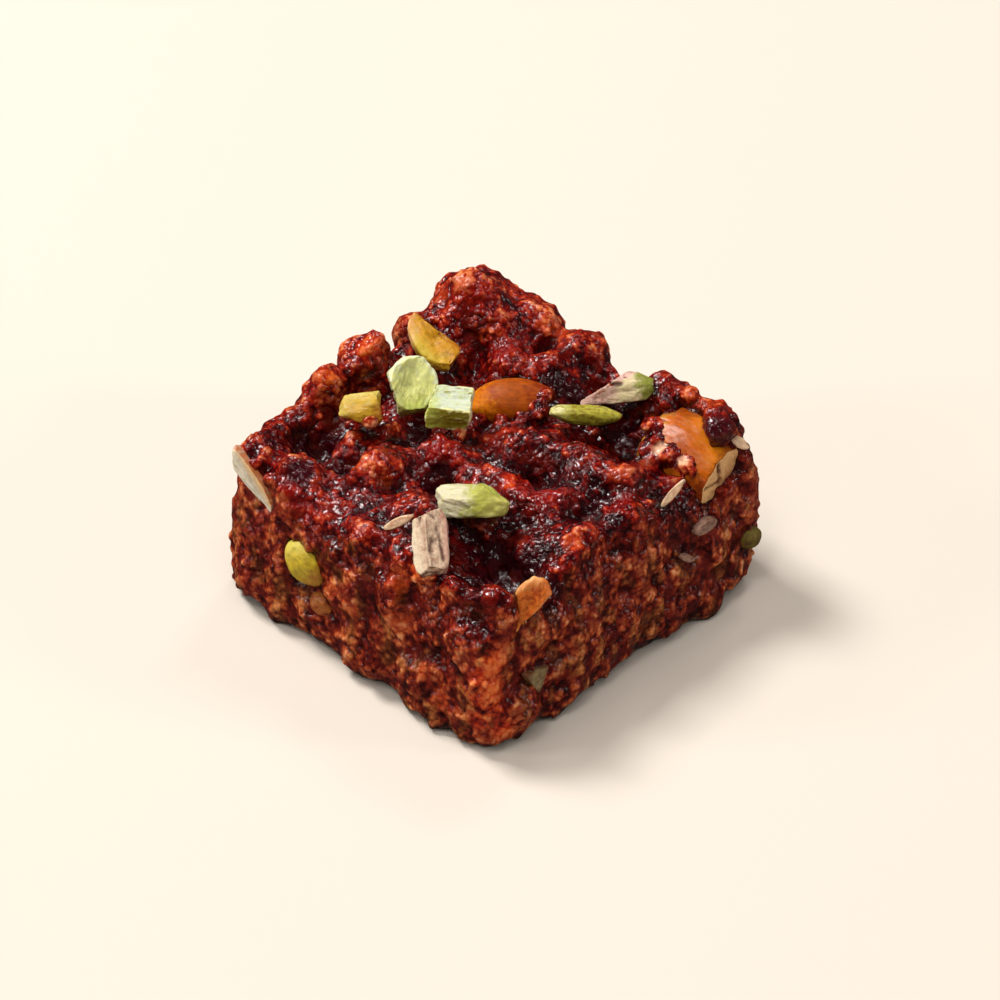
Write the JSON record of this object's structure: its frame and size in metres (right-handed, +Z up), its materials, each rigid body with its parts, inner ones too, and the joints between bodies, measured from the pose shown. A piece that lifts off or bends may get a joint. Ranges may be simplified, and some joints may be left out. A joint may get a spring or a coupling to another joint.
{
  "type": "habshi halwa",
  "caption": "Cut square of dark brown milk-and-nut fudge with a craggy, syrup-glossed top, chopped green nuts on it and cut nuts in its sides.",
  "frame": {"origin": "on the flat underside, under the middle of the bounding box", "axes": "+Z up out of the nutty top; +X and +Y square to the knife-cut sides, with the front corner of the picture between +X and -Y"},
  "size_m": [0.0538, 0.055, 0.0299],
  "materials": {
    "halwa": "sticky dark reddish-brown fudge, glossy with syrup on top and granular on the cut sides",
    "pistachio": "cut green nut flesh, pale at its rim",
    "pistachio_gold": "golden yellow nut flesh, slightly oily",
    "pistachio_skin": "papery wrinkled pinkish-beige nut skin",
    "almond": "cut cream-coloured nut flesh with a thin brown skin",
    "glazed_nut": "nut glazed with orange-brown syrup"
  },
  "bodies": {
    "root": {"halwa_block": "halwa", "pistachio_gold": "pistachio_gold", "pistachio_round": "pistachio", "pistachio_block": "pistachio", "pistachio_yellow": "pistachio_gold", "pistachio_skin_top": "pistachio_skin", "pistachio_sliver": "pistachio", "pistachio_pale": "pistachio", "pistachio_husk": "pistachio_skin", "pistachio_left": "pistachio", "pistachio_right": "pistachio", "pistachio_back": "pistachio", "cashew_top": "glazed_nut", "almond_right": "glazed_nut", "almond_right_low": "almond", "almond_sliver_low": "almond", "almond_left": "almond", "almond_back": "almond", "almond_chip_front": "almond", "almond_fleck": "almond", "nut_crumb_left": "glazed_nut", "caramel_flake": "glazed_nut", "splinter_left": "almond", "splinter_right": "almond"}
  },
  "joints": []
}
